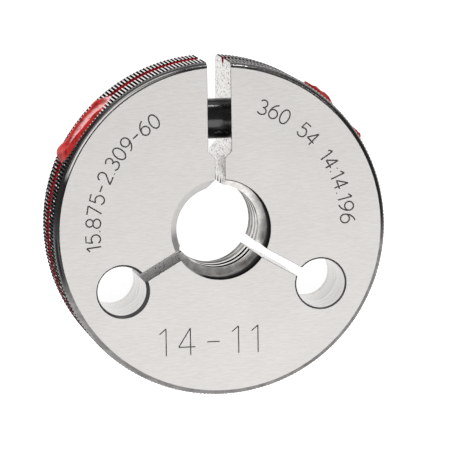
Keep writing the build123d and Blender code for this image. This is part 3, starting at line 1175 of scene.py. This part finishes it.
def wax_mesh(node, hole_radius, drift, sizes, front_ridge, back_ridge, heel, lifted_end):
    """A seal wrapped round the rim, over the mouth of its screw's hole."""
    low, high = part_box(node)
    side = copysign(1, (low + high).x)
    hole_bearing = asin(CROSS_HOLE_Y / RING_RADIUS)
    bearing = hole_bearing + drift
    half_span = sizes.span / 2
    half_width = (high.z - low.z) / 2
    mouth_length = hole_radius / cos(hole_bearing)
    power = sizes.squareness

    # a disc of unit radius, doubled, whose corners are then placed one by one
    mesh = bmesh.new()
    spokes = [mesh.verts.new((ring / sizes.rings, 0, 0)) for ring in range(sizes.rings + 1)]
    edges = [mesh.edges.new(pair) for pair in zip(spokes, spokes[1:])]
    bmesh.ops.spin(
        mesh, geom=spokes + edges, axis=(0, 0, 1), angle=2 * pi, steps=sizes.steps, use_merge=True
    )
    bmesh.ops.remove_doubles(mesh, verts=mesh.verts, dist=1e-6)
    top = list(mesh.verts)
    extruded = bmesh.ops.extrude_face_region(mesh, geom=list(mesh.faces), use_keep_orig=True)["geom"]
    bottom = only(extruded, bmesh.types.BMVert)

    def place(corner, on_top):
        out = min(1, hypot(corner.co.x, corner.co.y))
        turn = atan2(corner.co.y, corner.co.x)
        ragged = 1 + RAGGED_COARSE * noise.noise(Vector((cos(turn) * 2.2, sin(turn) * 2.2, side * 3)))
        ragged += RAGGED_FINE * noise.noise(Vector((cos(turn) * 9, sin(turn) * 9, side * 7)))
        squared = (abs(cos(turn)) ** power + abs(sin(turn)) ** power) ** (-1 / power)
        along = out * cos(turn) * squared * half_span * min(1, ragged)
        across = out * sin(turn) * squared * half_width * min(1, ragged)
        # how far the point is inside the hole's mouth: 1 in its middle, 0 at its edge
        hole_along = along - RING_RADIUS * (hole_bearing - bearing)
        inside = 1 - hypot(hole_along / mouth_length, across / hole_radius)
        lump = noise.noise(Vector((along, across * 0.7, side * 4 * MM)) / MM * 0.8)
        lump += 0.4 * noise.noise(Vector((along, across, side * 9 * MM)) / MM * 2.3)
        rise = LIFTED_END_START if along * lifted_end > 0 else END_START
        end = smooth(abs(along) / half_span, rise, rise + END_REACH)
        front = smooth(across / half_width, -0.4, 0.4)
        if across < 0:
            across *= 1 - BACK_LEAN * (1 - end)
        if on_top:
            side_share = back_ridge + (front_ridge - back_ridge) * front
            ridge = sizes.ridge * (side_share + (1 - side_share) * end)
            ridge *= 1 + heel * smooth(-along / half_span, 0.35, 0.75)
            tail = smooth(along / half_span, 0.3, 0.9)
            wall = smooth(1 - out, 0, 0.10 + 0.16 * front + 0.24 * tail)
            sunk = smooth(inside, -0.12, 0.45)
            height = -sizes.skirt + wall * (ridge + sizes.skirt) + lump * sizes.ripple * wall
            height -= sunk * (ridge + sizes.dish)
        else:
            lifted = smooth(along * lifted_end / half_span, 0.45, 0.85)
            height = -sizes.skirt - smooth(inside, 0.02, 0.10) * sizes.plug
            height += lifted * (sizes.skirt + LIFTED_GAP)
        radius = RING_RADIUS + height
        around = bearing + along / RING_RADIUS
        corner.co = Vector((side * radius * cos(around), radius * sin(around), MID_PLANE + across))

    for corner in top:
        place(corner, True)
    for corner in bottom:
        place(corner, False)
    return faced_out(mesh)


class GAUGE_OT_wax_seals(bpy.types.Operator):
    """Pour the wax seals over the two screws"""

    bl_idname = "gauge.wax_seals"
    bl_label = "Wax Seals"

    def execute(self, context):
        sizes = context.scene.gauge_wax
        ring = context.scene.gauge_ring
        wax = sealing_wax(context.scene.gauge_finishes)
        seals = [
            ("locking_seal_wax", "locking_screw_seal", ring.counterbore / 2, sizes.locking_drift),
            (
                "adjusting_seal_wax",
                "adjusting_screw_seal",
                ADJUSTING_SCREW_RADIUS,
                sizes.adjusting_drift,
            ),
        ]
        for name, node, hole_radius, drift in seals:
            mesh = wax_mesh(node, hole_radius, drift, sizes, **SEAL_SHAPES[name])
            seal = new_piece(name, finished(mesh, name, WAX_SHARP_ANGLE), [wax], "sealing_wax")
            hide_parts(node)
        return {"FINISHED"}


# ---------------------------------------------------------------- stage


# each light's bearing, elevation, and the width and height that it fills, in degrees; then its brightness
LIGHTS = {
    "main_softbox": (298, 65, 42, 38, 2.6),
    "left_softbox": (160, 33, 80, 44, 1.0),
    "rear_softbox": (45, 31, 22, 16, 1.6),
    "rear_strip": (80, 7, 24, 2.5, 30.0),
}
LIGHT_DISTANCE = 1.2
# the sky's brightness, from straight down at 0 to straight up at 1
SKY_STOPS = [
    (0.0, 1.15), (0.08, 1.05), (0.20, 0.40), (0.36, 0.13), (0.60, 0.13), (0.80, 0.16), (1.0, 0.30)
]
# where the camera looks on the front face, from the thread's axis
AIM = Vector((0.635, 0.734, 0)) * MM


def studio_floor(finish):
    """The pale floor, which glows a little so that it stays even."""
    s = new_material("studio_floor")
    grain = s.noise(s.millimetres(), 0.02, 2.0)
    lit = s.mix(grain, finish.floor, tinted(finish.floor, 1.02))
    return s.surface({"Base Color": lit, "Roughness": 0.9, "Emission Color": lit, "Emission Strength": 1.0})


def studio_world(scene):
    """Light from the floor's reflection and a dim sky, dark at the horizon but for a band behind."""
    scene.world = bpy.data.worlds.new("studio")
    s = Shader(scene.world)
    direction = s.add("TexCoord", output="Generated")
    x, y, z = s.parts(direction)
    sky = s.add("ValToRGB", {"stops": SKY_STOPS}, {"Fac": z * 0.5 + 0.5})
    behind = s.ramp(y, 0.70, 0.90) * (1 - s.ramp(abs(z + 0.20), 0.12, 0.22)) * 0.9
    corner = s.ramp(x * 0.7 - y * 0.7, 0.60, 0.90) * (1 - s.ramp(abs(z + 0.22), 0.12, 0.24)) * 0.75
    level = s.add("RGBToBW", None, {"Color": sky}) + behind + corner
    background = s.add("Background", None, {"Color": (1.0, 0.99, 0.98, 1), "Strength": level})
    s.add("OutputWorld", None, {"Surface": background})


def softbox(name, bearing, elevation, width, height, brightness):
    """A soft light that faces the gauge, invisible to the camera."""
    data = bpy.data.lights.new(name, "AREA")
    data.shape = "RECTANGLE"
    data.size = 2 * LIGHT_DISTANCE * tan(radians(width / 2))
    data.size_y = 2 * LIGHT_DISTANCE * tan(radians(height / 2))
    data.energy = brightness * pi * data.size * data.size_y
    light = bpy.data.objects.new(name, data)
    bpy.context.scene.collection.objects.link(light)
    turn, rise = radians(bearing), radians(elevation)
    outward = Vector((cos(turn) * cos(rise), sin(turn) * cos(rise), sin(rise)))
    light.location = outward * LIGHT_DISTANCE
    light.rotation_euler = outward.to_track_quat("Z", "Y").to_euler()
    light.visible_camera = False


class GAUGE_OT_studio(bpy.types.Operator):
    """Set up the pale floor, the soft lights and the camera"""

    bl_idname = "gauge.studio"
    bl_label = "Studio"

    def execute(self, context):
        scene = context.scene
        sizes = scene.gauge_stage
        mesh = bmesh.new()
        bmesh.ops.create_circle(mesh, cap_ends=True, radius=sizes.floor_size / 2, segments=64)
        rim = [edge for edge in mesh.edges if edge.is_boundary]
        wall = bmesh.ops.extrude_edge_only(mesh, edges=rim)["geom"]
        for corner in only(wall, bmesh.types.BMVert):
            corner.co.xy *= 2
            corner.co.z = sizes.floor_size / 2
        finish = studio_floor(scene.gauge_finishes)
        floor = new_piece("studio_floor", finished(mesh, "studio_floor"), [finish])
        floor.visible_glossy = False
        studio_world(scene)
        for name, light in LIGHTS.items():
            softbox(name, *light)

        data = bpy.data.cameras.new("camera")
        data.sensor_fit = "HORIZONTAL"
        data.sensor_width = 36
        data.lens = sizes.lens
        data.clip_end = 10
        camera = bpy.data.objects.new("camera", data)
        scene.collection.objects.link(camera)
        aim = AIM + Vector((0, 0, THICKNESS))
        aside = sin(sizes.tilt)
        away = Vector((aside * cos(sizes.bearing), aside * sin(sizes.bearing), cos(sizes.tilt)))
        right = Vector((0, 1, 0)).cross(away).normalized()
        level = Matrix((right, away.cross(right), away)).transposed()
        camera.rotation_euler = (level @ Matrix.Rotation(sizes.roll, 3, "Z")).to_euler()
        camera.location = aim + away * sizes.distance
        scene.camera = camera
        scene.view_settings.view_transform = "Standard"
        return {"FINISHED"}


# ---------------------------------------------------------------- add-on


class GAUGE_PT_panel(bpy.types.Panel):
    """Lists the gauge's pieces in the sidebar"""

    bl_idname = "GAUGE_PT_panel"
    bl_label = "Thread Ring Gauge"
    bl_space_type = "VIEW_3D"
    bl_region_type = "UI"
    bl_category = "Gauge"

    def draw(self, context):
        for operator in operators:
            self.layout.operator(operator.bl_idname)
        for name in property_groups:
            group = getattr(context.scene, name)
            box = self.layout.box()
            for key in group.__annotations__:
                box.prop(group, key)


property_groups = {
    "gauge_ring": RingSizes,
    "gauge_legend": LegendSizes,
    "gauge_lock": LockSizes,
    "gauge_wax": WaxSizes,
    "gauge_finishes": Finishes,
    "gauge_stage": StageSizes,
}
operators = [
    GAUGE_OT_ring,
    GAUGE_OT_numbers,
    GAUGE_OT_locking_device,
    GAUGE_OT_wax_seals,
    GAUGE_OT_studio,
]


def register():
    """Adds the settings, the operators and the panel."""
    for name, group in property_groups.items():
        bpy.utils.register_class(group)
        setattr(bpy.types.Scene, name, PointerProperty(type=group))
    for item in [*operators, GAUGE_PT_panel]:
        bpy.utils.register_class(item)


def unregister():
    """Takes away what register() adds."""
    for item in reversed([*operators, GAUGE_PT_panel]):
        bpy.utils.unregister_class(item)
    for name, group in property_groups.items():
        delattr(bpy.types.Scene, name)
        bpy.utils.unregister_class(group)


def main():
    """Builds the gauge and its stage."""
    register()
    bpy.ops.gauge.ring()
    bpy.ops.gauge.numbers()
    bpy.ops.gauge.locking_device()
    bpy.ops.gauge.wax_seals()
    bpy.ops.gauge.studio()


if __name__ == "__main__":
    main()
